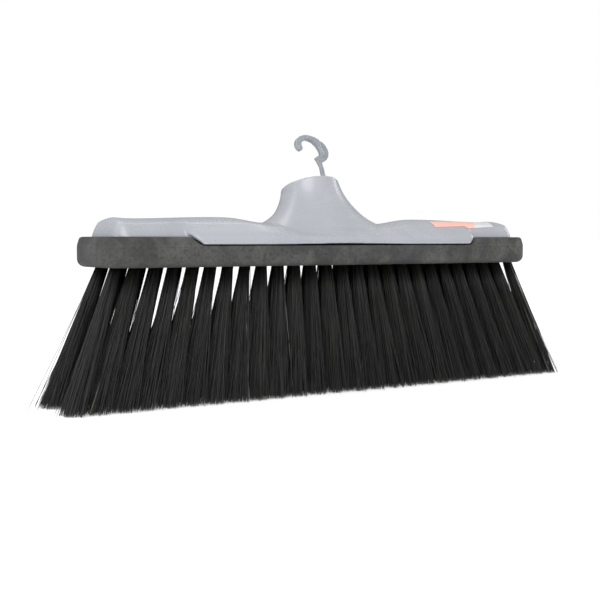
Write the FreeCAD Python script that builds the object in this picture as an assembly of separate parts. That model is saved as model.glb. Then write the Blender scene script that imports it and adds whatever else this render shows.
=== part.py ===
import FreeCAD, Part
import math
import os

# Soft-bristle floor broom head: a drilled brush block with leaning tufts, a
# soft bumper round its edge, a moulded cover with a tilted handle socket, and
# a hang-up plug that sits in the socket until the handle is fitted.
# X runs along the head, +Y is the back (the socket leans that way), +Z is up.
# The origin is the middle of the bristle tips, on the floor.
# All lengths are in millimetres and all angles in degrees.

Vector = FreeCAD.Vector

# Whole head
HEAD_LENGTH = 305.0
HEAD_WIDTH = 62.0
HEAD_CORNER = 18.0
BRISTLE_HEIGHT = 76.5

# Bumper
BUMPER_SEAM_Z = 88.4
BUMPER_TOP_Z = 93.4
BUMPER_DRAFT = 1.6
BUMPER_EDGE = 4.2
BUMPER_WALL = 5.0
BUMPER_LIP = 8.2
BUMPER_GAP_LOW = 97.0
BUMPER_GAP_HIGH = 104.6

# Brush block
BLOCK_INSET = 5.1
BLOCK_LOW_Z = 77.0
BLOCK_TOP_Z = 88.5
BLOCK_STEP_Z = 90.0
BLOCK_STEP_INSET = 12.0

# Tufts
TUFT_PITCH = 11.4
ROW_Y = (-15.0, -5.0, 5.0, 15.0)
ROW_TIP_Y = (-24.8, -8.3, 8.3, 24.8)
TUFT_FAN = 1.2
TUFT_RADIUS = 2.7
TUFT_TIP_HALF_X = 6.65
TUFT_TIP_HALF_Y = 8.1
TUFT_COLUMNS = 51
HOLE_CLEARANCE = 0.05
HOLE_TOP_Z = 84.5

# Tuft anchors: flat wire across each hole, under the fold of the tuft
ANCHOR_THICK = 0.35
ANCHOR_LENGTH = 5.0
ANCHOR_HEIGHT = 1.6
ANCHOR_LOW_Z = 81.6
ANCHOR_SLOT_PLAY = 0.05
ANCHOR_SLOT_LENGTH = 7.0

# Cover
COVER_INSET = 8.3
COVER_WALL = 2.4
COVER_SEAT_Z = 88.5
LOBE_WALL_TOP_Z = 93.6
PANEL_HALF_WIDTH = 18.0
SHOULDER_HALF_WIDTH = 24.7
SHOULDER_STEP = 5.5
VALLEY_Z = 101.8
LOBE_Z = 104.9
LOBE_FALL = 1.3
END_HUMP = 0.9
DOME_END_SHARE = 0.6
PANEL_EDGE_VALLEY_Z = 98.6
PANEL_EDGE_LOBE_Z = 101.2
PANEL_EDGE_END_FALL = 0.9
SHOULDER_VALLEY_Z = 95.5
SHOULDER_LOBE_Z = 97.0
SKIRT_LOW_Z = 89.0
SKIRT_ARCH = 0.5
SKIRT_ARCH_HALF = 46.0
POST_X = (-120.0, -70.0, 70.0, 120.0)
POST_RADIUS = 4.0
SPIGOT_RADIUS = 2.5
SPIGOT_LENGTH = 4.5

# Handle socket, measured along its own leaning axis down from the rim
SOCKET_LEAN = 20.5
RIM_Y = 12.0
RIM_Z = 125.4
MOUTH_RADIUS = 15.0
FUNNEL_DEPTH = 9.0
PLUG_BORE_RADIUS = 12.1
PLUG_BORE_DEPTH = 13.0
HANDLE_BORE_RADIUS = 11.9
HANDLE_BORE_DEPTH = 29.0
BOSS_RADIUS = 14.6
BOSS_DEPTH = 32.0
SHELL_ROOF_DEPTH = 15.0
RIB_THICK = 2.0

# Hanger
HANGER_PLAY = 0.35
HANGER_FIN = 2.2
HANGER_PLATE = 2.2
HANGER_FLANGE = 3.4
PLUG_TOP_DEPTH = 1.5
PLUG_END_DEPTH = 12.4

# Label
LABEL_THICK = 0.18
LABEL_LIFT = 0.03

# Reach of tools that cut or trim, well past the part
FAR = 400.0


def eased(value, start, end):
    """0 before start, 1 after end, and an S-curve between them."""
    t = min(1.0, max(0.0, (value - start) / (end - start)))
    return t * t * (3.0 - 2.0 * t)


def rounded_rectangle(half_x, half_y, radius, z):
    """A level closed outline with four equal corner arcs."""
    edges = []
    corners = ((1, 1, 0), (-1, 1, 90), (-1, -1, 180), (1, -1, 270))
    arcs = []
    for sign_x, sign_y, start in corners:
        centre = Vector(sign_x * (half_x - radius), sign_y * (half_y - radius), z)
        points = []
        for turn in (0, 45, 90):
            angle = math.radians(start + turn)
            points.append(centre + Vector(radius * math.cos(angle), radius * math.sin(angle), 0))
        arcs.append(points)
    for index, points in enumerate(arcs):
        edges.append(Part.Arc(*points).toShape())
        after = arcs[(index + 1) % len(arcs)]
        edges.append(Part.LineSegment(points[2], after[0]).toShape())
    return Part.Wire(edges)


def stacked(levels):
    """A solid with straight sides between level rounded rectangles, each (z, half_x, half_y, radius)."""
    wires = []
    for z, half_x, half_y, radius in levels:
        wires.append(rounded_rectangle(half_x, half_y, radius, z))
    return Part.makeLoft(wires, True, True)


def head_level(z, inset):
    """A level of the head's plan outline, moved in by inset."""
    radius = max(2.0, HEAD_CORNER - inset)
    return (z, HEAD_LENGTH / 2 - inset, HEAD_WIDTH / 2 - inset, radius)


def level_ellipse(centre_x, centre_y, half_x, half_y, z):
    """A level ellipse or circle whose seam is always on its +X side, so that lofts don't twist."""
    stretch = FreeCAD.Matrix()
    stretch.scale(half_x, half_y, 1.0)
    edge = Part.Circle(Vector(0, 0, 0), Vector(0, 0, 1), 1.0).toShape().transformGeometry(stretch)
    edge.translate(Vector(centre_x, centre_y, z))
    return Part.Wire([edge])


def along_socket(shape):
    """Turn a shape made about +Z onto the socket's leaning axis, with its zero at the rim's centre."""
    placed = shape.copy()
    placed.rotate(Vector(0, 0, 0), Vector(1, 0, 0), -SOCKET_LEAN)
    placed.translate(Vector(0, RIM_Y, RIM_Z))
    return placed


def socket_cylinder(radius, low_depth, high_depth):
    """A cylinder on the socket's axis between two depths below the rim."""
    cylinder = Part.makeCylinder(radius, low_depth - high_depth, Vector(0, 0, -low_depth))
    return along_socket(cylinder)


def ridge_z(x):
    """Height of the cover along its middle line, away from the socket."""
    reach = abs(x)
    height = VALLEY_Z + (LOBE_Z - VALLEY_Z) * eased(reach, 44.0, 68.0)
    height -= LOBE_FALL * eased(reach, 76.0, 130.0)
    height += END_HUMP * eased(reach, 131.0, 142.0)
    return height


def panel_edge_z(x):
    """Height of the crease where the crowned panel turns down into the shoulder."""
    reach = abs(x)
    height = PANEL_EDGE_VALLEY_Z
    height += (PANEL_EDGE_LOBE_Z - PANEL_EDGE_VALLEY_Z) * eased(reach, 30.0, 66.0)
    return height - PANEL_EDGE_END_FALL * eased(reach, 100.0, 135.0)


def shoulder_z(x):
    """Height of the shoulder's lower edge, above the skirt."""
    return SHOULDER_VALLEY_Z + (SHOULDER_LOBE_Z - SHOULDER_VALLEY_Z) * eased(abs(x), 26.0, 58.0)


def crown_row(x, lift):
    """Poles of the cover's cross-section at x: a straight shoulder, a crowned panel, a straight shoulder."""
    edge = panel_edge_z(x)
    slope = (edge - shoulder_z(x)) / (SHOULDER_HALF_WIDTH - PANEL_HALF_WIDTH)
    crown = (4.0 * ridge_z(x) - edge) / 3.0
    shoulder = []
    for step in (3, 2, 1, 0):
        out = step * SHOULDER_STEP
        shoulder.append((PANEL_HALF_WIDTH + out, edge - slope * out))
    half = shoulder + [(PANEL_HALF_WIDTH / 3.0, crown)]
    poles = [Vector(x, -across, height + lift) for across, height in half]
    poles += [Vector(x, across, height + lift) for across, height in reversed(half)]
    return poles


def crown_solid(lift):
    """Everything from the cover's top surface, raised by lift, down to well below the head."""
    half_count = 26
    step = 6.0
    rows = [crown_row(index * step, lift) for index in range(-half_count, half_count + 1)]
    spans = len(rows) - 3
    surface = Part.BSplineSurface()
    surface.buildFromPolesMultsKnots(
        rows, [4] + [1] * (spans - 1) + [4], [4, 3, 3, 4],
        list(range(spans + 1)), [0, 1, 2, 3], False, False, 3, 3,
    )
    return surface.toShape().extrude(Vector(0, 0, -60))


def lobe_stack(shrink):
    """The ends of the cover: an upright wall inside the bumper, domed over towards the top, steepest at the ends."""
    levels = [head_level(COVER_SEAT_Z - shrink, COVER_INSET + shrink)]
    dome = ((0.0, 0.0), (2.0, 3.4), (4.2, 6.3), (6.6, 8.6), (9.2, 10.2), (13.0, 11.4), (17.0, 12.0))
    for inset, rise in dome:
        z, half_x, half_y, radius = head_level(LOBE_WALL_TOP_Z + rise - shrink, COVER_INSET + inset + shrink)
        levels.append((z, half_x + (1.0 - DOME_END_SHARE) * inset, half_y, radius))
    return stacked(levels)


def skirt_stack(shrink):
    """The wide middle of the cover, whose skirt laps over the bumper."""
    outline = (
        (SKIRT_LOW_Z, 96.4, 31.0, 1.6),
        (92.5, 100.6, 29.9, 2.4),
        (94.8, 102.8, 27.9, 4.5),
        (97.0, 104.0, 24.9, 6.0),
        (100.4, 104.0, 20.0, 6.0),
        (103.0, 103.0, 15.0, 6.0),
        (107.0, 101.0, 8.0, 6.0),
    )
    levels = []
    for z, half_x, half_y, radius in outline:
        levels.append((z - shrink, half_x - shrink, half_y - shrink, radius))
    return stacked(levels)


def flare_loft(shrink):
    """The handle socket's outside, which spreads into the top of the cover to both sides."""
    outline = (
        (91.0, 70.0, 24.0, 2.0),
        (95.0, 60.5, 24.6, 2.0),
        (98.5, 49.8, 23.5, 2.0),
        (101.6, 40.5, 22.9, 2.0),
        (104.0, 35.0, 22.3, 2.0),
        (107.0, 30.2, 21.6, 2.0),
        (111.0, 26.0, 20.8, 1.5),
        (116.0, 22.3, 19.8, 0.8),
        (122.0, 19.5, 18.9, 0.2),
        (129.0, 17.9, 18.4, 0.0),
        (140.0, 16.9, 18.2, 0.0),
    )
    lean = math.tan(math.radians(SOCKET_LEAN))
    wires = []
    for z, half_x, half_y, forward in outline:
        centre_y = RIM_Y - (RIM_Z - z) * lean - forward
        wires.append(level_ellipse(0, centre_y, half_x - shrink, half_y - shrink, z))
    return Part.makeLoft(wires, True, False)


def above_depth(depth):
    """A block that fills everything past a level square to the socket's axis."""
    block = Part.makeBox(FAR, FAR, FAR, Vector(-FAR / 2, -FAR / 2, -depth))
    return along_socket(block)


def fused(base, piece):
    """One solid from two that overlap, checked against the material that went in."""
    together = base.fuse(piece)
    expected = base.Volume + piece.Volume - base.common(piece).Volume
    if len(together.Solids) != 1 or abs(together.Volume - expected) > 0.005 * expected:
        raise RuntimeError("a fuse lost or gained material")
    return together


def make_cover():
    """One moulding: end lobes, skirt and socket, hollow underneath, with posts that locate on the block."""
    crown = crown_solid(0.0)
    flare = flare_loft(0.0).cut(above_depth(0.0))
    outside = lobe_stack(0.0).common(crown)
    outside = fused(fused(outside, skirt_stack(0.0).common(crown)), flare)

    inner_crown = crown_solid(-COVER_WALL)
    inner_flare = flare_loft(COVER_WALL).cut(above_depth(SHELL_ROOF_DEPTH))
    hollow = lobe_stack(COVER_WALL).common(inner_crown)
    hollow = fused(fused(hollow, skirt_stack(COVER_WALL).common(inner_crown)), inner_flare)

    boss = socket_cylinder(BOSS_RADIUS, BOSS_DEPTH, 0.0)
    rib_across = Part.makeBox(120.0, RIB_THICK, BOSS_DEPTH, Vector(-60.0, -RIB_THICK / 2, -BOSS_DEPTH))
    rib_along = Part.makeBox(RIB_THICK, 60.0, BOSS_DEPTH, Vector(-RIB_THICK / 2, -30.0, -BOSS_DEPTH))
    kept = [boss, along_socket(rib_across), along_socket(rib_along)]
    for x in POST_X:
        kept.append(Part.makeCylinder(POST_RADIUS, 30.0, Vector(x, 0, BLOCK_STEP_Z)))
    hollow = hollow.cut(kept)

    funnel = along_socket(
        Part.makeCone(PLUG_BORE_RADIUS, MOUTH_RADIUS, FUNNEL_DEPTH, Vector(0, 0, -FUNNEL_DEPTH))
    )
    mouth = socket_cylinder(MOUTH_RADIUS, 0.0, -20.0)
    plug_bore = socket_cylinder(PLUG_BORE_RADIUS, PLUG_BORE_DEPTH, FUNNEL_DEPTH)
    handle_bore = socket_cylinder(HANDLE_BORE_RADIUS, HANDLE_BORE_DEPTH, PLUG_BORE_DEPTH)
    arch_radius = (SKIRT_ARCH_HALF ** 2 + SKIRT_ARCH ** 2) / (2 * SKIRT_ARCH)
    arch = Part.makeCylinder(
        arch_radius, HEAD_WIDTH * 2,
        Vector(0, -HEAD_WIDTH, SKIRT_LOW_Z + SKIRT_ARCH - arch_radius), Vector(0, 1, 0),
    )
    underside = Part.makeBox(FAR, FAR, 60.0, Vector(-FAR / 2, -FAR / 2, COVER_SEAT_Z - 60.0))
    cover = outside.cut([hollow, mouth, funnel, plug_bore, handle_bore])
    cover = cover.cut([arch, underside, block_step(0.1)])

    spigots = []
    for x in POST_X:
        low = Vector(x, 0, BLOCK_STEP_Z - SPIGOT_LENGTH)
        spigots.append(Part.makeCylinder(SPIGOT_RADIUS, SPIGOT_LENGTH + 2.0, low))
    return cover.fuse(spigots).removeSplitter()


def make_bumper():
    """Soft rim: full height round both ends, cut down along the middle where the skirt laps over it."""
    levels = []
    for step in range(5):
        angle = math.radians(90.0 * step / 4)
        z = BRISTLE_HEIGHT + BUMPER_EDGE * (1.0 - math.cos(angle))
        levels.append(head_level(z, BUMPER_EDGE * (1.0 - math.sin(angle))))
    levels.append(head_level(BUMPER_SEAM_Z, 0.0))
    levels.append(head_level(BUMPER_TOP_Z - 0.9, BUMPER_DRAFT - 0.3))
    levels.append(head_level(BUMPER_TOP_Z - 0.2, BUMPER_DRAFT))
    levels.append(head_level(BUMPER_TOP_Z, BUMPER_DRAFT + 0.7))
    solid = stacked(levels)
    pocket = stacked([head_level(BRISTLE_HEIGHT - 5.0, BUMPER_WALL), head_level(BLOCK_TOP_Z, BUMPER_WALL)])
    mouth = stacked([head_level(BLOCK_TOP_Z - 1.0, BUMPER_LIP), head_level(BUMPER_TOP_Z + 5.0, BUMPER_LIP)])
    rise = BUMPER_TOP_Z - BUMPER_SEAM_Z
    slope = (BUMPER_GAP_HIGH - BUMPER_GAP_LOW) / rise
    over = 5.0
    corners = (
        (-BUMPER_GAP_LOW, BUMPER_SEAM_Z),
        (BUMPER_GAP_LOW, BUMPER_SEAM_Z),
        (BUMPER_GAP_HIGH + slope * over, BUMPER_TOP_Z + over),
        (-BUMPER_GAP_HIGH - slope * over, BUMPER_TOP_Z + over),
    )
    points = [Vector(x, -HEAD_WIDTH, z) for x, z in corners]
    gap = Part.Face(Part.makePolygon(points + points[:1])).extrude(Vector(0, 2 * HEAD_WIDTH, 0))
    return solid.cut([pocket, mouth, gap])


def tuft_places():
    """Each tuft as (column, base x, base y, tip x, tip y): odd and even columns fill alternate rows."""
    places = []
    for column in range(TUFT_COLUMNS):
        x = (column - (TUFT_COLUMNS - 1) / 2) * TUFT_PITCH / 2
        for row in range(column % 2, len(ROW_Y), 2):
            places.append((column, x, ROW_Y[row], x * TUFT_FAN, ROW_TIP_Y[row]))
    return places


def lean_point(place, z):
    """Where a tuft's middle line crosses the level z."""
    _, base_x, base_y, tip_x, tip_y = place
    share = (BLOCK_LOW_Z - z) / BLOCK_LOW_Z
    return base_x + (tip_x - base_x) * share, base_y + (tip_y - base_y) * share


def tuft_hole(place):
    """The leaning blind hole that one tuft sits in."""
    radius = TUFT_RADIUS + HOLE_CLEARANCE
    wires = []
    for z in (BLOCK_LOW_Z - 1.0, HOLE_TOP_Z):
        x, y = lean_point(place, z)
        wires.append(level_ellipse(x, y, radius, radius, z))
    return Part.makeLoft(wires, True, True)


def anchor_box(place, play, size_y):
    """The flat wire of one anchor, or with play the slot it needs."""
    x, y = lean_point(place, ANCHOR_LOW_Z + ANCHOR_HEIGHT / 2)
    size_x = ANCHOR_THICK + 2 * play
    size_z = ANCHOR_HEIGHT + 2 * play
    corner = Vector(x - size_x / 2, y - size_y / 2, ANCHOR_LOW_Z - play)
    return Part.makeBox(size_x, size_y, size_z, corner)


def make_tuft(place):
    """One bunch of bristles: round in its hole, spreading to an oval at the floor."""
    top_x, top_y = lean_point(place, HOLE_TOP_Z - 0.1)
    wires = [level_ellipse(top_x, top_y, TUFT_RADIUS, TUFT_RADIUS, HOLE_TOP_Z - 0.1)]
    wires.append(level_ellipse(place[1], place[2], TUFT_RADIUS, TUFT_RADIUS, BLOCK_LOW_Z))
    wires.append(level_ellipse(place[3], place[4], TUFT_TIP_HALF_X, TUFT_TIP_HALF_Y, 0.0))
    bunch = Part.makeLoft(wires, True, True)
    return bunch.cut(anchor_box(place, ANCHOR_SLOT_PLAY, ANCHOR_SLOT_LENGTH))


def block_step(play):
    """The raised middle of the block, which stands inside the cover; with play, the room it needs."""
    inset = BLOCK_STEP_INSET - play
    return stacked([head_level(BLOCK_TOP_Z - 1.0, inset), head_level(BLOCK_STEP_Z + play, inset)])


def make_block():
    """The drilled plate that holds the tufts."""
    plate = stacked([head_level(BLOCK_LOW_Z, BLOCK_INSET), head_level(BLOCK_TOP_Z, BLOCK_INSET)])
    plate = plate.fuse(block_step(0.0)).removeSplitter()
    holes = [tuft_hole(place) for place in tuft_places()]
    for x in POST_X:
        low = Vector(x, 0, BLOCK_STEP_Z - SPIGOT_LENGTH - 0.1)
        holes.append(Part.makeCylinder(SPIGOT_RADIUS + 0.05, SPIGOT_LENGTH + 2.0, low))
    return plate.cut(holes)


def flat_piece(points, thick):
    """A plate of the given thickness across the socket's axis, from a closed outline of (across, up) points."""
    corners = [Vector(across, -thick / 2, up) for across, up in points]
    wire = Part.makePolygon(corners + corners[:1])
    return Part.Face(wire).extrude(Vector(0, thick, 0))


def curve_points(points, count):
    """Points spaced along a smooth curve through a few (across, up) points."""
    curve = Part.BSplineCurve()
    curve.interpolate([Vector(across, 0, up) for across, up in points])
    return [(p.x, p.z) for p in curve.discretize(count)]


def make_hanger():
    """Hang-up plug: crossed fins that sit in the socket's mouth, and a flat swan-neck hook above them."""
    shoulder = [(13.0, -1.5), (12.8, 12.0), (12.2, 16.6)]
    knee = [(12.2, 16.6), (15.8, 18.0), (18.7, 21.8), (18.6, 26.4), (13.2, 32.0)]
    back = [(13.2, 32.0), (9.0, 34.1), (3.4, 35.0), (-2.2, 33.2), (-5.2, 29.2), (-4.2, 25.0)]
    inside = [(-0.4, 26.2), (-0.7, 29.4), (2.2, 31.5), (6.0, 31.4), (9.6, 29.0), (12.2, 21.4)]
    tab = [(10.4, 21.1), (7.6, 19.4), (10.0, 13.0), (10.0, -1.5)]
    tip = [(-3.6, 24.3), (-2.6, 24.0), (-1.5, 24.2), (-0.7, 25.0)]
    arch = curve_points(back, 16)
    under = curve_points(inside, 14)
    plate = flat_piece(shoulder + curve_points(knee, 10)[1:] + arch[1:] + tip + under + tab, HANGER_PLATE)
    inner_rim = [(12.2, 16.6), (14.6, 21.8), (13.0, 28.0)]
    flange = flat_piece(inner_rim + arch + tip + under + tab[:2], HANGER_FLANGE)

    top_radius = MOUTH_RADIUS - HANGER_PLAY
    low_radius = PLUG_BORE_RADIUS - HANGER_PLAY
    taper = (top_radius - low_radius) / FUNNEL_DEPTH
    neck = top_radius - taper * PLUG_TOP_DEPTH
    body = Part.makeCone(
        low_radius, neck, FUNNEL_DEPTH - PLUG_TOP_DEPTH, Vector(0, 0, -FUNNEL_DEPTH)
    )
    tail = Part.makeCylinder(low_radius, PLUG_END_DEPTH - FUNNEL_DEPTH, Vector(0, 0, -PLUG_END_DEPTH))
    fins = []
    for turn in (0, 90):
        fin = Part.makeBox(60.0, HANGER_FIN, 30.0, Vector(-30.0, -HANGER_FIN / 2, -30.0))
        fin.rotate(Vector(0, 0, 0), Vector(0, 0, 1), turn)
        fins.append(fin)
    plug = body.fuse(tail).common(fins[0].fuse(fins[1]))
    disc = Part.makeCylinder(neck - 0.4, 1.4, Vector(0, 0, -PLUG_TOP_DEPTH - 1.4))
    hanger = plug.fuse([disc, plate, flange]).removeSplitter()
    return along_socket(hanger)


def lobes_and_skirt(lift):
    """The cover's outside, raised by lift, without its socket."""
    crown = crown_solid(lift)
    return fused(lobe_stack(-lift).common(crown), skirt_stack(-lift).common(crown))


def make_label():
    """Thin printed label with slanted ends, laid on the crowned panel of the +X lobe."""
    outline = ((75.5, -20.0), (104.0, -20.0), (127.0, -18.0), (133.5, -5.0), (76.5, -12.0))
    points = [Vector(x, y, 0) for x, y in outline]
    column = Part.Face(Part.makePolygon(points + points[:1])).extrude(Vector(0, 0, 150.0))
    skin = column.common(lobes_and_skirt(LABEL_LIFT + LABEL_THICK))
    return skin.cut(lobes_and_skirt(LABEL_LIFT))


def save(shape, node):
    """Write one node, after checking that each of its solids is closed and valid."""
    if not shape.isValid() or not shape.Solids:
        raise RuntimeError("bad shape in " + node)
    shape.exportStep("parts/" + node + ".step")
    print(node, len(shape.Solids), "solids", round(shape.Volume, 1), "mm3")


def main():
    os.makedirs("parts", exist_ok=True)
    save(make_cover(), "cover")
    save(make_bumper(), "bumper")
    save(make_block(), "brush_block")
    save(make_hanger(), "hanger")
    save(make_label(), "label")
    places = tuft_places()
    save(Part.makeCompound([anchor_box(place, 0.0, ANCHOR_LENGTH) for place in places]), "tuft_anchors")
    for column in range(TUFT_COLUMNS):
        pair = [make_tuft(place) for place in places if place[0] == column]
        save(Part.makeCompound(pair), "tuft_pair_{:02d}".format(column + 1))


main()
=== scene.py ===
import math

import bpy
import numpy as np
from mathutils import Matrix, Vector


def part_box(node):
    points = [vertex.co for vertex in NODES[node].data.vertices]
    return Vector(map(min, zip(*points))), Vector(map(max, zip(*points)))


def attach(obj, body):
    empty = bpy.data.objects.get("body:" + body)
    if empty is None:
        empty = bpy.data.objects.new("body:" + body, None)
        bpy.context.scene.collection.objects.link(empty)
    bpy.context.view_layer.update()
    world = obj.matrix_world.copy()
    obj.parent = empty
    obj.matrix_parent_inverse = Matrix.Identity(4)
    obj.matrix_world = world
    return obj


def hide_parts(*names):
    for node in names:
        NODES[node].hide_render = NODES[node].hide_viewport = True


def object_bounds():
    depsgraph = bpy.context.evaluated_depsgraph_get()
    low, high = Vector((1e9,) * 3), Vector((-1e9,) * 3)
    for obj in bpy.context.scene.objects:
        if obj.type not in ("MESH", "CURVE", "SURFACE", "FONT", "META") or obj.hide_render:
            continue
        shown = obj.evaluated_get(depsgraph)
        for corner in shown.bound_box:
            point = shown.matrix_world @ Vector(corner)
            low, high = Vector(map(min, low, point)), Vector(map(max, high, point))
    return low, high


bl_info = {
    "name": "Soft broom head",
    "version": (1, 0, 0),
    "blender": (4, 5, 0),
    "location": "3D View > Sidebar > Broom head",
    "description": "Gives a soft-bristle floor broom head its moulded, rubber and bristle finishes",
    "category": "Add Mesh",
}

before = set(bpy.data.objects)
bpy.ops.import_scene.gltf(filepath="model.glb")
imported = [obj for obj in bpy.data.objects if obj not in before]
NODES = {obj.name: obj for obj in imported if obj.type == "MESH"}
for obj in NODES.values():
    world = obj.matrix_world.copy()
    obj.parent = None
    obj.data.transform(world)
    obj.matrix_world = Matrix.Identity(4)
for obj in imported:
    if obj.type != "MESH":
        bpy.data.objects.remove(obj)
FRAME_LOW, FRAME_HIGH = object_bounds()

HEAD_BODY = "head"
HANGER_BODY = "hanger"
TUFT_PREFIX = "tuft_pair_"

# The label's outline on the cover, from above: front left, front right, back right, back left
LABEL_CORNERS = ((0.0752, -0.0203), (0.1270, -0.0182), (0.1335, -0.0050), (0.0765, -0.0120))
LABEL_LIFT = 0.00005
LABEL_THICK = 0.00012
LABEL_COLUMNS = 72
LABEL_ROWS = 20

# A bristle's rings, as shares of its length up from the tip, and the width of the tip ring
STRAND_RINGS = (0.025, 0.34, 0.68)
STRAND_TIP_WIDTH = 0.55

# How bristles lie in their bunch: how much of it they fill, and how they spread and wander towards the tips
BUNCH_FILL = 0.96
SPREAD_POWER = 0.75
SPLAY_POWER = 1.6
LOCK_REACH = 0.75
LEAST_GATHER = 0.4

# How bristles differ: their shade, the share of strays that are pale, and their width
SHADE_TOP = 0.9
SHADE_FLOOR = 0.55
SHADE_RANGE = 0.45
PALE_STRAY_SHARE = 0.12
RADIUS_RANGE = (0.8, 1.15)

# Points nearer than this are one point, and points this near a level belong to its ring
MESH_JOIN = 1e-6
RING_SLACK = 10 * MESH_JOIN

# The bumper's mould line, raised by bump and lightened by a painted highlight: its height, half its width,
# and how far it fades out below and above
SEAM_HEIGHT = 0.0884
SEAM_HALF_WIDTH = 0.00002
SEAM_FADE_BELOW = 0.00023
SEAM_FADE_ABOVE = 0.00026

WHITE = (1.0, 1.0, 1.0, 1.0)
FLOOR_RADIUS = 40.0
FLOOR_CORNERS = 96
WORLD_STOPS = ((0.0, (0.16, 0.17, 0.19, 1.0)), (0.75, (0.74, 0.74, 0.75, 1.0)))

# Each sun: name, way it shines, strength, spread in degrees
SUN_LAMPS = (
    ("key_light", (0.62, 0.62, -0.8), 1.35, 40.0),
    ("fill_light", (-0.85, 0.45, -0.5), 0.18, 70.0),
)
# Each area lamp: name, place, the point it faces, its two sides, power in watts
AREA_LAMPS = (
    ("front_softbox", (-0.48, -0.92, 0.42), (0.0, 0.0, 0.10), (0.30, 0.5), 3.4),
    ("side_strip", (0.98, 0.10, 0.25), (0.0, 0.0, 0.11), (0.14, 0.9), 2.2),
    ("top_strip", (-0.10, 0.35, 0.75), (0.0, 0.0, 0.10), (1.4, 0.10), 1.1),
    ("end_softbox", (-0.85, 0.10, 0.22), (-0.12, 0.0, 0.10), (0.35, 0.25), 0.8),
)

CAMERA_PLACE = (-0.35849, -0.54296, 0.092)
CAMERA_TURN = (86.664, 0.0, -32.3)
SENSOR_WIDTH = 36.0
LENS_LENGTH = 62.58
NEAREST_SEEN = 0.01


# ---------------------------------------------------------------- materials


class Tone:
    """A value that varies over a surface. Sums of tones add Math nodes to the tree they belong to."""

    def __init__(self, nodes, socket):
        self.nodes = nodes
        self.socket = socket

    def _sum(self, operation, first, second):
        return self.nodes.node("ShaderNodeMath", {"operation": operation}, {0: first, 1: second})

    def __add__(self, other):
        return self._sum("ADD", self, other)

    def __radd__(self, other):
        return self._sum("ADD", other, self)

    def __sub__(self, other):
        return self._sum("SUBTRACT", self, other)

    def __rsub__(self, other):
        return self._sum("SUBTRACT", other, self)

    def __mul__(self, other):
        return self._sum("MULTIPLY", self, other)

    def __rmul__(self, other):
        return self._sum("MULTIPLY", other, self)

    def part(self, name):
        """Another output of the node this tone comes from."""
        return Tone(self.nodes, self.socket.node.outputs[name])

    def step(self, low, high):
        """0 below low, 1 above high, smooth between."""
        settings = {"interpolation_type": "SMOOTHSTEP"}
        return self.nodes.node("ShaderNodeMapRange", settings, {0: self, 1: low, 2: high, 3: 0.0, 4: 1.0})


class Nodes:
    """The node tree of a material or a world, emptied and then put together node by node."""

    def __init__(self, owner):
        owner.use_nodes = True
        self.tree = owner.node_tree
        self.tree.nodes.clear()

    def node(self, kind, settings=None, inputs=None, output=0):
        """Adds a node, makes its settings, feeds its sockets, and gives one of its outputs."""
        made = self.tree.nodes.new(kind)
        for name, value in (settings or {}).items():
            if name == "stops":
                self._set_stops(made.color_ramp, value)
            else:
                setattr(made, name, value)
        for key, value in (inputs or {}).items():
            socket = made.inputs[key]
            if isinstance(value, Tone):
                self.tree.links.new(value.socket, socket)
            else:
                socket.default_value = value
        return Tone(self, made.outputs[output]) if made.outputs else made

    @staticmethod
    def _set_stops(ramp, stops):
        while len(ramp.elements) < len(stops):
            ramp.elements.new(0.5)
        for element, (place, colour) in zip(ramp.elements, stops):
            element.position = place
            element.color = colour

    def mixed(self, share, first, second):
        """A colour between two others."""
        return self.node("ShaderNodeMix", {"data_type": "RGBA"}, {0: share, 6: first, 7: second}, output=2)


class Finish(Nodes):
    """One material, put together node by node round a Principled shader."""

    def __init__(self, name):
        self.material = bpy.data.materials.new(name)
        super().__init__(self.material)

    def place(self):
        return self.node("ShaderNodeTexCoord", output="Object")

    def noise(self, place, scale, detail=2.0, roughness=0.5, distortion=0.0):
        inputs = {
            "Vector": place, "Scale": scale, "Detail": detail,
            "Roughness": roughness, "Distortion": distortion,
        }
        return self.node("ShaderNodeTexNoise", inputs=inputs)

    def stretched(self, place, scale):
        """The same place, drawn out by a different amount each way."""
        return self.node("ShaderNodeMapping", inputs={"Vector": place, "Scale": scale})

    def bump(self, height, strength, distance):
        inputs = {"Height": height, "Strength": strength, "Distance": distance}
        return self.node("ShaderNodeBump", inputs=inputs)

    def close(self, inputs):
        """The Principled shader and the output, which end the material."""
        shader = self.node("ShaderNodeBsdfPrincipled", inputs=inputs)
        self.node("ShaderNodeOutputMaterial", inputs={"Surface": shader})
        return self.material


def rgba(colour, level=1.0):
    """A colour setting as a socket value, made lighter or darker by level."""
    return (*(channel * level for channel in colour), 1.0)


def cover_plastic(colours):
    """Satin moulded plastic with faint flow marks, a fine mould grain and a painted highlight along its sharp
    edges.
    """
    finish = Finish("cover_plastic")
    place = finish.place()
    flow = finish.noise(place, 26.0, 3.0, 0.55, 0.6)
    grain = finish.noise(place, 1400.0, 2.0)
    scuff = finish.noise(finish.stretched(place, (60.0, 420.0, 420.0)), 1.0, 3.0).step(0.62, 0.78)
    # Painted highlight: the cover's sharp outer edges are mixed towards a paler grey
    edge = finish.node("ShaderNodeNewGeometry", output="Pointiness").step(0.535, 0.60)
    colour = finish.mixed(flow.step(0.3, 0.7), rgba(colours.cover, 0.94), rgba(colours.cover, 1.04))
    colour = finish.mixed(0.55 * edge, colour, rgba(colours.cover_edge_highlight))
    return finish.close({
        "Base Color": finish.mixed(0.06 * scuff, colour, rgba(colours.cover, 1.3)),
        "Roughness": 0.22 + 0.06 * flow + 0.04 * grain + 0.06 * scuff,
        "Normal": finish.bump(0.25 * grain + 0.5 * flow, 0.05, 0.00025),
        "IOR": 1.56,
    })


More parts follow.
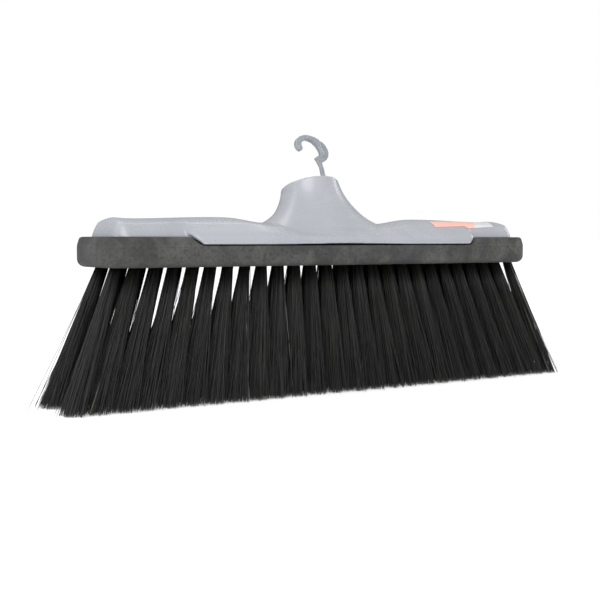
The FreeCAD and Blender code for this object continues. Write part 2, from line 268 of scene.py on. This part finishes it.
def bumper_rubber(colours):
    """Matt soft rubber, clouded with paler blotches and lined where the two halves of its mould met, the line
    raised by bump and lightened by a painted highlight.
    """
    finish = Finish("bumper_rubber")
    place = finish.place()
    cloud = finish.noise(place, 48.0, 5.0, 0.62, 0.4)
    blotch = finish.noise(place, 95.0, 3.0, 0.55, 0.8).step(0.52, 0.76)
    speck = finish.noise(place, 520.0, 3.0, 0.65)
    pore = finish.noise(place, 1900.0, 2.0)
    height = finish.node("ShaderNodeSeparateXYZ", inputs={0: place}).part("Z")
    low, high = SEAM_HEIGHT - SEAM_HALF_WIDTH, SEAM_HEIGHT + SEAM_HALF_WIDTH
    below = height.step(low - SEAM_FADE_BELOW, low)
    above = height.step(high, high + SEAM_FADE_ABOVE)
    seam_and_highlight = (below - above) * cloud.step(0.4, 0.62)
    colour = finish.mixed(cloud.step(0.32, 0.7), rgba(colours.bumper, 0.62), rgba(colours.bumper, 1.35))
    colour = finish.mixed(0.5 * blotch * speck.step(0.3, 0.65), colour, rgba(colours.bumper_blotch_and_seam_highlight))
    colour = finish.mixed(0.6 * speck.step(0.46, 0.66), colour, rgba(colours.bumper, 0.45))
    # Painted highlight: the mould line is mixed towards the paler blotch grey
    colour = finish.mixed(0.35 * seam_and_highlight, colour, rgba(colours.bumper_blotch_and_seam_highlight))
    return finish.close({
        "Base Color": colour,
        "Roughness": 0.7 + 0.18 * speck,
        "Normal": finish.bump(pore + 0.8 * speck + 0.5 * seam_and_highlight, 0.4, 0.0004),
        "IOR": 1.45,
    })


def block_plastic(colours):
    """Black moulded plastic with a matt spark-eroded texture."""
    finish = Finish("block_plastic")
    place = finish.place()
    grain = finish.noise(place, 1100.0, 3.0, 0.6)
    cloud = finish.noise(place, 40.0, 3.0)
    return finish.close({
        "Base Color": finish.mixed(cloud, rgba(colours.block, 0.75), rgba(colours.block, 1.5)),
        "Roughness": 0.42 + 0.16 * grain,
        "Normal": finish.bump(grain, 0.18, 0.0002),
    })


def bristle_black(colours):
    """Black bristle, each strand of its own shade, dusted paler at its cut and split tip."""
    finish = Finish("bristle_black")
    place = finish.place()
    shade = finish.node("ShaderNodeAttribute", {"attribute_name": "strand_shade"}, output="Fac")
    run = finish.node("ShaderNodeAttribute", {"attribute_name": "strand_run"}, output="Fac")
    fibre = finish.noise(finish.stretched(place, (900.0, 900.0, 45.0)), 1.0, 2.0)
    colour = finish.mixed(shade.step(0.25, 0.95), rgba(colours.bristle), rgba(colours.bristle_sheen))
    colour = finish.mixed(0.5 * fibre.step(0.5, 0.8), colour, rgba(colours.bristle_sheen))
    colour = finish.mixed(shade.step(0.985, 0.995), colour, rgba(colours.bristle_stray))
    tip = run.step(0.97, 1.0) * (0.2 + 0.6 * shade)
    return finish.close({
        "Base Color": finish.mixed(tip, colour, rgba(colours.bristle_tip)),
        "Roughness": 0.36 + 0.2 * fibre,
        "IOR": 1.5,
    })


def hanger_plastic(colours):
    """Cloudy grey plastic with a soft polish."""
    finish = Finish("hanger_plastic")
    place = finish.place()
    cloud = finish.noise(place, 130.0, 3.0, 0.6, 0.5)
    grain = finish.noise(place, 1600.0, 2.0)
    colour = finish.mixed(cloud.step(0.35, 0.68), rgba(colours.hanger, 0.86), rgba(colours.hanger, 1.08))
    return finish.close({
        "Base Color": colour,
        "Roughness": 0.2 + 0.1 * cloud + 0.04 * grain,
        "Normal": finish.bump(cloud, 0.03, 0.0003),
        "IOR": 1.49,
    })


def label_print(colours):
    """Printed film in two plain fields, with a soft edge between them and the tooth of the film."""
    finish = Finish("label_print")
    chart = finish.node("ShaderNodeTexCoord", output="UV")
    across = finish.node("ShaderNodeSeparateXYZ", inputs={0: chart})
    place = finish.place()
    ink = finish.noise(place, 900.0, 3.0, 0.6)
    wash = finish.noise(place, 70.0, 2.0)
    field = (across - 0.09 * across.part("Y")).step(0.655, 0.675)
    coral = finish.mixed(wash, rgba(colours.label_coral, 0.96), rgba(colours.label_coral, 1.05))
    pale = finish.mixed(wash, rgba(colours.label_pale, 0.96), rgba(colours.label_pale, 1.03))
    colour = finish.mixed(field, coral, pale)
    return finish.close({
        "Base Color": finish.mixed(0.05 * ink, colour, WHITE),
        "Roughness": 0.3 + 0.12 * ink,
        "Normal": finish.bump(ink, 0.05, 0.0001),
    })


def anchor_wire(colours):
    """Flat-rolled steel wire, lined along its length."""
    finish = Finish("anchor_wire")
    place = finish.place()
    drawn = finish.noise(finish.stretched(place, (2600.0, 160.0, 2600.0)), 1.0, 3.0)
    return finish.close({
        "Base Color": finish.mixed(drawn, rgba(colours.anchor, 0.8), rgba(colours.anchor, 1.1)),
        "Roughness": 0.25 + 0.2 * drawn,
        "Normal": finish.bump(drawn, 0.1, 0.0001),
        "Metallic": 1.0,
    })


def studio_paper(colours):
    """Plain pale paper sweep."""
    finish = Finish("studio_paper")
    tooth = finish.noise(finish.place(), 60.0, 2.0)
    return finish.close({
        "Base Color": finish.mixed(tooth, rgba(colours.paper, 0.995), rgba(colours.paper)),
        "Roughness": 0.95,
        "Specular IOR Level": 0.0,
        "Emission Color": rgba(colours.paper),
        "Emission Strength": 0.3,
    })


# ---------------------------------------------------------------- modelling


def object_mode():
    if bpy.context.object is not None and bpy.context.object.mode != "OBJECT":
        bpy.ops.object.mode_set(mode="OBJECT")


def only(piece):
    """Selects one object and makes it the active one."""
    object_mode()
    bpy.ops.object.select_all(action="DESELECT")
    piece.select_set(True)
    bpy.context.view_layer.objects.active = piece


def edit(piece):
    only(piece)
    bpy.ops.object.mode_set(mode="EDIT")


def apply_modifier(piece, kind, **settings):
    """Adds a modifier with these settings and applies it."""
    only(piece)
    modifier = piece.modifiers.new(kind.title(), kind)
    for name, value in settings.items():
        setattr(modifier, name, value)
    bpy.ops.object.modifier_apply(modifier=modifier.name)


def linked(name, data):
    """A new object in the scene that holds this mesh, lamp or camera."""
    made = bpy.data.objects.new(name, data)
    bpy.context.scene.collection.objects.link(made)
    return made


def coat(piece, material):
    piece.data.materials.clear()
    piece.data.materials.append(material)


def settle(piece):
    """Moves an object's place into its mesh, so that it sits at the origin, unturned and unscaled."""
    piece.data.transform(piece.matrix_world)
    piece.matrix_world = Matrix.Identity(4)


def eased_copy(node, name, grid, rounds):
    """A copy of a frame node, joined up, with its hard edges eased as a mould leaves them."""
    piece = linked(name, NODES[node].data.copy())
    edit(piece)
    bpy.ops.mesh.select_all(action="SELECT")
    bpy.ops.mesh.remove_doubles(threshold=MESH_JOIN)
    object_mode()
    apply_modifier(piece, "REMESH", mode="VOXEL", voxel_size=grid, adaptivity=0.0)
    apply_modifier(piece, "SMOOTH", factor=0.5, iterations=rounds)
    only(piece)
    bpy.ops.object.shade_smooth()
    return piece


def stand_for(piece, node, body):
    """Puts a finished piece in the place of its frame node."""
    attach(piece, body)
    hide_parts(node)


def model_strand():
    """One straight bristle of unit length and unit radius, from its drawn-in tip at 0 up to its root at 1."""
    object_mode()
    bpy.ops.object.select_all(action="DESELECT")
    bpy.ops.mesh.primitive_cylinder_add(vertices=3, radius=1.0, depth=1.0, location=(0.0, 0.0, 0.5))
    strand = bpy.context.object
    settle(strand)
    edit(strand)
    for share in STRAND_RINGS:
        bpy.ops.mesh.select_all(action="SELECT")
        bpy.ops.mesh.bisect(plane_co=(0.0, 0.0, share), plane_no=(0.0, 0.0, 1.0))
    object_mode()
    for vertex in strand.data.vertices:
        vertex.select = vertex.co.z < MESH_JOIN
    for part in (*strand.data.edges, *strand.data.polygons):
        part.select = all(strand.data.vertices[i].select for i in part.vertices)
    edit(strand)
    bpy.ops.transform.resize(value=(STRAND_TIP_WIDTH, STRAND_TIP_WIDTH, 1.0), center_override=(0.0, 0.0, 0.0))
    object_mode()
    points = np.array([vertex.co for vertex in strand.data.vertices])
    faces = [tuple(face.vertices) for face in strand.data.polygons]
    mesh = strand.data
    bpy.data.objects.remove(strand)
    bpy.data.meshes.remove(mesh)
    return points, faces


def outline(points):
    """Middle and half sizes, in plan, of a ring of points."""
    low, high = points[:, :2].min(0), points[:, :2].max(0)
    return (low + high) / 2, (high - low) / 2


def tufts_of(node):
    """Each bunch of a frame node: its height, then the middle and half size of its root and of its tip."""
    points = np.array([vertex.co for vertex in NODES[node].data.vertices])
    top = points[:, 2].max()
    bunches = []
    for side in (False, True):
        rings = []
        for level in (top, 0.0):
            ring = points[np.abs(points[:, 2] - level) < RING_SLACK]
            middle = (ring[:, 1].min() + ring[:, 1].max()) / 2
            rings.append(outline(ring[(ring[:, 1] > middle) == side]))
        bunches.append((top, rings))
    return bunches


def lay_strands(bunch, strand, sizes, chance):
    """The points of one bunch's bristles, and each point's strand shade and run from root to tip."""
    top, ((root_middle, root_half), (tip_middle, tip_half)) = bunch
    shape, _ = strand
    count = sizes.strands_per_tuft
    collar = sizes.block_low

    turn = chance.uniform(0.0, 2.0 * math.pi, count)
    out = np.sqrt(chance.uniform(0.0, 1.0, count))
    spot = np.stack([out * np.cos(turn), out * np.sin(turn)], 1)
    locks = chance.uniform(-LOCK_REACH, LOCK_REACH, (sizes.locks_per_tuft, 2))
    nearest = ((spot[:, None, :] - locks[None, :, :]) ** 2).sum(2).argmin(1)
    gather = sizes.lock_pull * chance.uniform(LEAST_GATHER, 1.0, (count, 1))
    bow = chance.normal(0.0, sizes.strand_bow, (count, 2))
    splay = chance.normal(0.0, sizes.strand_splay, (count, 2))
    stray = chance.uniform(0.0, 1.0, count) < sizes.stray_share
    splay[stray] *= sizes.stray_reach
    shade = chance.uniform(0.0, SHADE_TOP, count)
    shade *= SHADE_FLOOR + SHADE_RANGE * chance.uniform(0.0, 1.0, count)
    shade[stray & (chance.uniform(0.0, 1.0, count) < PALE_STRAY_SHARE)] = 1.0
    radius = sizes.strand_radius * chance.uniform(*RADIUS_RANGE, count)
    trim = np.abs(chance.normal(0.0, sizes.trim_spread, count))
    spin = chance.uniform(0.0, 2.0 * math.pi, count)

    height = trim[:, None] + (top - trim[:, None]) * shape[None, :, 2]
    fall = np.clip((collar - height) / collar, 0.0, 1.0)[:, :, None]
    lean = ((top - height) / top)[:, :, None]
    middle = root_middle + (tip_middle - root_middle) * lean
    half = root_half + (tip_half - root_half) * fall ** SPREAD_POWER
    drawn = spot[:, None, :] + (locks[nearest] - spot)[:, None, :] * gather[:, None, :] * fall
    plan = middle + half * drawn * BUNCH_FILL
    plan = plan + bow[:, None, :] * np.sin(math.pi * fall) + splay[:, None, :] * fall ** SPLAY_POWER

    cos, sin = np.cos(spin)[:, None], np.sin(spin)[:, None]
    ring_x = (shape[None, :, 0] * cos - shape[None, :, 1] * sin) * radius[:, None]
    ring_y = (shape[None, :, 0] * sin + shape[None, :, 1] * cos) * radius[:, None]
    points = np.stack([plan[:, :, 0] + ring_x, plan[:, :, 1] + ring_y, height], 2)
    run = 1.0 - shape[:, 2]
    return points.reshape(-1, 3), np.repeat(shade, len(shape)), np.tile(run, count)


def bunch_mesh(name, points, faces, shade, run):
    """A mesh of many bristles with their strand shades and runs on its points."""
    mesh = bpy.data.meshes.new(name)
    mesh.from_pydata(points, [], faces)
    for attribute, values in (("strand_shade", shade), ("strand_run", run)):
        mesh.attributes.new(attribute, "FLOAT", "POINT").data.foreach_set("value", values.astype(np.float32))
    mesh.polygons.foreach_set("use_smooth", [True] * len(faces))
    mesh.update()
    return mesh


def sun_lamp(name, towards, strength, spread):
    lamp = bpy.data.lights.new(name, "SUN")
    lamp.energy = strength
    lamp.angle = math.radians(spread)
    linked(name, lamp).rotation_euler = Vector(towards).to_track_quat("-Z", "Y").to_euler()


def area_lamp(name, spot, aim, sides, power):
    lamp = bpy.data.lights.new(name, "AREA")
    lamp.shape = "RECTANGLE"
    lamp.size, lamp.size_y = sides
    lamp.energy = power
    holder = linked(name, lamp)
    holder.location = spot
    holder.rotation_euler = (Vector(aim) - Vector(spot)).to_track_quat("-Z", "Y").to_euler()


def studio_world():
    """Soft light that grows upwards, and plain white where the camera sees past the head."""
    world = bpy.data.worlds.new("studio_light")
    sky = Nodes(world)
    direction = sky.node("ShaderNodeTexCoord", output="Generated")
    upwards = sky.node("ShaderNodeSeparateXYZ", inputs={0: direction}, output="Z")
    glow = sky.node("ShaderNodeValToRGB", {"stops": WORLD_STOPS}, {"Fac": upwards}, output="Color")
    seen = sky.node("ShaderNodeLightPath", output="Is Camera Ray")
    background = sky.node("ShaderNodeBackground", inputs={"Color": sky.mixed(seen, glow, WHITE)})
    sky.node("ShaderNodeOutputWorld", inputs={"Surface": background})
    return world


def studio_camera():
    lens = bpy.data.cameras.new("camera")
    lens.sensor_width = SENSOR_WIDTH
    lens.lens = LENS_LENGTH
    lens.clip_start = NEAREST_SEEN
    camera = linked("camera", lens)
    camera.location = CAMERA_PLACE
    camera.rotation_euler = [math.radians(angle) for angle in CAMERA_TURN]
    return camera


# ---------------------------------------------------------------- settings


class BroomColours(bpy.types.PropertyGroup):
    """Colours of the broom head's finishes."""

    cover: bpy.props.FloatVectorProperty(
        name="Cover", description="Pale blue-grey of the moulded cover",
        default=(0.345, 0.358, 0.384), subtype="COLOR", min=0.0, max=1.0)
    # Colour of the painted highlight along the cover's sharp edges
    cover_edge_highlight: bpy.props.FloatVectorProperty(
        name="Cover edge", description="Paler grey of the cover's highlit edges",
        default=(0.74, 0.76, 0.80), subtype="COLOR", min=0.0, max=1.0)
    bumper: bpy.props.FloatVectorProperty(
        name="Bumper", description="Dark grey of the soft bumper",
        default=(0.052, 0.053, 0.050), subtype="COLOR", min=0.0, max=1.0)
    # Also the colour of the painted highlight along the bumper's mould line
    bumper_blotch_and_seam_highlight: bpy.props.FloatVectorProperty(
        name="Bumper blotches", description="Paler grey that clouds the bumper",
        default=(0.155, 0.155, 0.148), subtype="COLOR", min=0.0, max=1.0)
    block: bpy.props.FloatVectorProperty(
        name="Brush block", description="Black of the drilled block",
        default=(0.018, 0.018, 0.018), subtype="COLOR", min=0.0, max=1.0)
    bristle: bpy.props.FloatVectorProperty(
        name="Bristle", description="Black of most bristles",
        default=(0.0045, 0.0045, 0.0042), subtype="COLOR", min=0.0, max=1.0)
    bristle_sheen: bpy.props.FloatVectorProperty(
        name="Paler bristle", description="Brownish grey of the palest strands",
        default=(0.024, 0.0235, 0.020), subtype="COLOR", min=0.0, max=1.0)
    bristle_tip: bpy.props.FloatVectorProperty(
        name="Bristle tip", description="Grey of the split tips",
        default=(0.16, 0.16, 0.15), subtype="COLOR", min=0.0, max=1.0)
    bristle_stray: bpy.props.FloatVectorProperty(
        name="Stray strand", description="Pale grey of a few stray strands",
        default=(0.22, 0.21, 0.19), subtype="COLOR", min=0.0, max=1.0)
    hanger: bpy.props.FloatVectorProperty(
        name="Hanger", description="Grey of the hanger",
        default=(0.265, 0.285, 0.31), subtype="COLOR", min=0.0, max=1.0)
    label_coral: bpy.props.FloatVectorProperty(
        name="Label, coral field", description="Coral of the label's long field",
        default=(0.86, 0.44, 0.36), subtype="COLOR", min=0.0, max=1.0)
    label_pale: bpy.props.FloatVectorProperty(
        name="Label, pale field", description="Near white of the label's short field",
        default=(0.62, 0.63, 0.63), subtype="COLOR", min=0.0, max=1.0)
    anchor: bpy.props.FloatVectorProperty(
        name="Anchor wire", description="Steel of the tuft anchors",
        default=(0.6, 0.6, 0.58), subtype="COLOR", min=0.0, max=1.0)
    paper: bpy.props.FloatVectorProperty(
        name="Studio paper", description="Pale paper that the head stands on",
        default=(0.9, 0.9, 0.9), subtype="COLOR", min=0.0, max=1.0)


class BroomSizes(bpy.types.PropertyGroup):
    """Sizes that shape the broom head's finished pieces."""

    cover_grid: bpy.props.FloatProperty(
        name="Cover easing", description="Grid that the cover's edges are eased on",
        default=0.00086, min=0.0004, unit="LENGTH", precision=5)
    bumper_grid: bpy.props.FloatProperty(
        name="Bumper easing", description="Grid that the bumper's edges are eased on",
        default=0.0009, min=0.0004, unit="LENGTH", precision=5)
    hanger_grid: bpy.props.FloatProperty(
        name="Hanger easing", description="Grid that the hanger's edges are eased on",
        default=0.00042, min=0.0002, unit="LENGTH", precision=5)
    cover_rounds: bpy.props.IntProperty(
        name="Cover rounds", description="How often the cover's eased edges are smoothed", default=4, min=1)
    bumper_rounds: bpy.props.IntProperty(
        name="Bumper rounds", description="How often the bumper's eased edges are smoothed", default=6, min=1)
    hanger_rounds: bpy.props.IntProperty(
        name="Hanger rounds", description="How often the hanger's eased edges are smoothed",
        default=12, min=1)
    block_low: bpy.props.FloatProperty(
        name="Block underside", description="Height at which the bristles leave the block",
        default=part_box("brush_block")[0].z, min=0.0, unit="LENGTH", precision=5)
    strands_per_tuft: bpy.props.IntProperty(
        name="Strands in a tuft", description="Bristles modelled in each tuft", default=190, min=1)
    locks_per_tuft: bpy.props.IntProperty(
        name="Locks in a tuft", description="Strands of a tuft draw together into this many locks",
        default=9, min=1)
    lock_pull: bpy.props.FloatProperty(
        name="Lock pull", description="How far a strand leans towards its lock",
        default=0.16, min=0.0, max=1.0, subtype="FACTOR")
    strand_radius: bpy.props.FloatProperty(
        name="Strand radius", description="Radius of one bristle",
        default=0.00021, min=0.0, unit="LENGTH", precision=5)
    strand_bow: bpy.props.FloatProperty(
        name="Strand bow", description="How far a bristle bows out of line",
        default=0.0005, min=0.0, unit="LENGTH", precision=5)
    strand_splay: bpy.props.FloatProperty(
        name="Tip splay", description="How far a bristle's tip wanders",
        default=0.0016, min=0.0, unit="LENGTH", precision=5)
    stray_share: bpy.props.FloatProperty(
        name="Stray share", description="Share of bristles that stray",
        default=0.03, min=0.0, max=1.0, subtype="FACTOR")
    stray_reach: bpy.props.FloatProperty(
        name="Stray reach", description="How many times further a stray bristle wanders",
        default=2.4, min=1.0)
    trim_spread: bpy.props.FloatProperty(
        name="Trim spread", description="How unevenly the tips are trimmed",
        default=0.0005, min=0.0, unit="LENGTH", precision=5)
    seed: bpy.props.IntProperty(name="Seed", description="Start of the bristles' chance", default=11)


# ---------------------------------------------------------------- operators


class BROOM_OT_stage(bpy.types.Operator):
    """Sets up the pale floor, the soft studio light and the camera"""

    bl_idname = "broom.make_stage"
    bl_label = "Stage"

    def execute(self, context):
        scene = context.scene
        bpy.ops.object.select_all(action="DESELECT")
        bpy.ops.mesh.primitive_circle_add(
            vertices=FLOOR_CORNERS, radius=FLOOR_RADIUS, fill_type="NGON", location=(0.0, 0.0, 0.0))
        floor = context.object
        floor.name = "studio_floor"
        coat(floor, studio_paper(scene.broom_colours))

        scene.world = studio_world()
        for lamp in SUN_LAMPS:
            sun_lamp(*lamp)
        for lamp in AREA_LAMPS:
            area_lamp(*lamp)
        scene.camera = studio_camera()
        scene.view_settings.view_transform = "Standard"
        return {"FINISHED"}


class BROOM_OT_cover(bpy.types.Operator):
    """Makes the moulded cover with its handle socket"""

    bl_idname = "broom.make_cover"
    bl_label = "Cover"

    def execute(self, context):
        scene = context.scene
        sizes = scene.broom_sizes
        piece = eased_copy("cover", "moulded_cover", sizes.cover_grid, sizes.cover_rounds)
        coat(piece, cover_plastic(scene.broom_colours))
        stand_for(piece, "cover", HEAD_BODY)
        return {"FINISHED"}


class BROOM_OT_bumper(bpy.types.Operator):
    """Makes the soft bumper round the head"""

    bl_idname = "broom.make_bumper"
    bl_label = "Bumper"

    def execute(self, context):
        scene = context.scene
        sizes = scene.broom_sizes
        piece = eased_copy("bumper", "soft_bumper", sizes.bumper_grid, sizes.bumper_rounds)
        coat(piece, bumper_rubber(scene.broom_colours))
        stand_for(piece, "bumper", HEAD_BODY)
        return {"FINISHED"}


class BROOM_OT_block(bpy.types.Operator):
    """Finishes the drilled block and the steel anchors in it"""

    bl_idname = "broom.finish_block"
    bl_label = "Block and anchors"

    def execute(self, context):
        colours = context.scene.broom_colours
        coat(NODES["brush_block"], block_plastic(colours))
        coat(NODES["tuft_anchors"], anchor_wire(colours))
        return {"FINISHED"}


class BROOM_OT_tufts(bpy.types.Operator):
    """Makes every tuft out of separate bristles"""

    bl_idname = "broom.make_tufts"
    bl_label = "Tufts"

    def execute(self, context):
        scene = context.scene
        sizes = scene.broom_sizes
        black = bristle_black(scene.broom_colours)
        strand = model_strand()
        shape, strand_faces = strand
        for node in sorted(name for name in NODES if name.startswith(TUFT_PREFIX)):
            number = int(node[len(TUFT_PREFIX):])
            chance = np.random.default_rng(sizes.seed * 1000 + number)
            laid = [lay_strands(bunch, strand, sizes, chance) for bunch in tufts_of(node)]
            points, shade, run = (np.concatenate(column) for column in zip(*laid))
            faces = []
            for start in range(0, len(points), len(shape)):
                faces += [tuple(start + corner for corner in face) for face in strand_faces]
            name = "bristles_{:02d}".format(number)
            piece = linked(name, bunch_mesh(name, points, faces, shade, run))
            coat(piece, black)
            stand_for(piece, node, HEAD_BODY)
        return {"FINISHED"}


class BROOM_OT_hanger(bpy.types.Operator):
    """Makes the hanging plug with its hook"""

    bl_idname = "broom.make_hanger"
    bl_label = "Hanger"

    def execute(self, context):
        scene = context.scene
        sizes = scene.broom_sizes
        piece = eased_copy("hanger", "hanging_plug", sizes.hanger_grid, sizes.hanger_rounds)
        coat(piece, hanger_plastic(scene.broom_colours))
        stand_for(piece, "hanger", HANGER_BODY)
        return {"FINISHED"}


class BROOM_OT_label(bpy.types.Operator):
    """Makes the printed label and lays it on the cover"""

    bl_idname = "broom.make_label"
    bl_label = "Label"

    def execute(self, context):
        scene = context.scene
        cover = bpy.data.objects.get("moulded_cover")
        if cover is None:
            raise RuntimeError("make the cover before the label, which is laid on it")
        bpy.ops.object.select_all(action="DESELECT")
        bpy.ops.mesh.primitive_grid_add(
            x_subdivisions=LABEL_COLUMNS, y_subdivisions=LABEL_ROWS, size=1.0, location=(0.0, 0.0, 0.0))
        piece = context.object
        piece.name = "printed_label"
        front_left, front_right, back_right, back_left = (Vector(corner) for corner in LABEL_CORNERS)
        above = FRAME_HIGH.z
        for vertex in piece.data.vertices:
            across, back = vertex.co.x + 0.5, vertex.co.y + 0.5
            front = front_left.lerp(front_right, across)
            spot = front.lerp(back_left.lerp(back_right, across), back)
            vertex.co = (spot.x, spot.y, above)
        apply_modifier(
            piece, "SHRINKWRAP", wrap_method="PROJECT", wrap_mode="ABOVE_SURFACE", target=cover,
            use_project_z=True, use_negative_direction=True, use_positive_direction=False, offset=LABEL_LIFT)
        apply_modifier(piece, "SOLIDIFY", thickness=LABEL_THICK, offset=1.0)
        only(piece)
        bpy.ops.object.shade_smooth_by_angle(angle=math.radians(40.0))
        coat(piece, label_print(scene.broom_colours))
        stand_for(piece, "label", HEAD_BODY)
        return {"FINISHED"}


OPERATORS = (
    BROOM_OT_stage, BROOM_OT_cover, BROOM_OT_bumper, BROOM_OT_block,
    BROOM_OT_tufts, BROOM_OT_hanger, BROOM_OT_label,
)


class BROOM_PT_panel(bpy.types.Panel):
    """Lists the broom head's pieces and settings"""

    bl_idname = "BROOM_PT_panel"
    bl_label = "Broom head"
    bl_space_type = "VIEW_3D"
    bl_region_type = "UI"
    bl_category = "Broom head"

    def draw(self, context):
        layout = self.layout
        for operator in OPERATORS:
            layout.operator(operator.bl_idname)
        for group in (context.scene.broom_sizes, context.scene.broom_colours):
            box = layout.box()
            for name in group.__annotations__:
                box.prop(group, name)


CLASSES = (BroomColours, BroomSizes, *OPERATORS, BROOM_PT_panel)


def register():
    for made in CLASSES:
        bpy.utils.register_class(made)
    bpy.types.Scene.broom_colours = bpy.props.PointerProperty(type=BroomColours)
    bpy.types.Scene.broom_sizes = bpy.props.PointerProperty(type=BroomSizes)


def unregister():
    del bpy.types.Scene.broom_sizes
    del bpy.types.Scene.broom_colours
    for made in reversed(CLASSES):
        bpy.utils.unregister_class(made)


def main():
    register()
    bpy.ops.broom.make_stage()
    bpy.ops.broom.make_cover()
    bpy.ops.broom.make_bumper()
    bpy.ops.broom.finish_block()
    bpy.ops.broom.make_tufts()
    bpy.ops.broom.make_hanger()
    bpy.ops.broom.make_label()


if __name__ == "__main__":
    main()
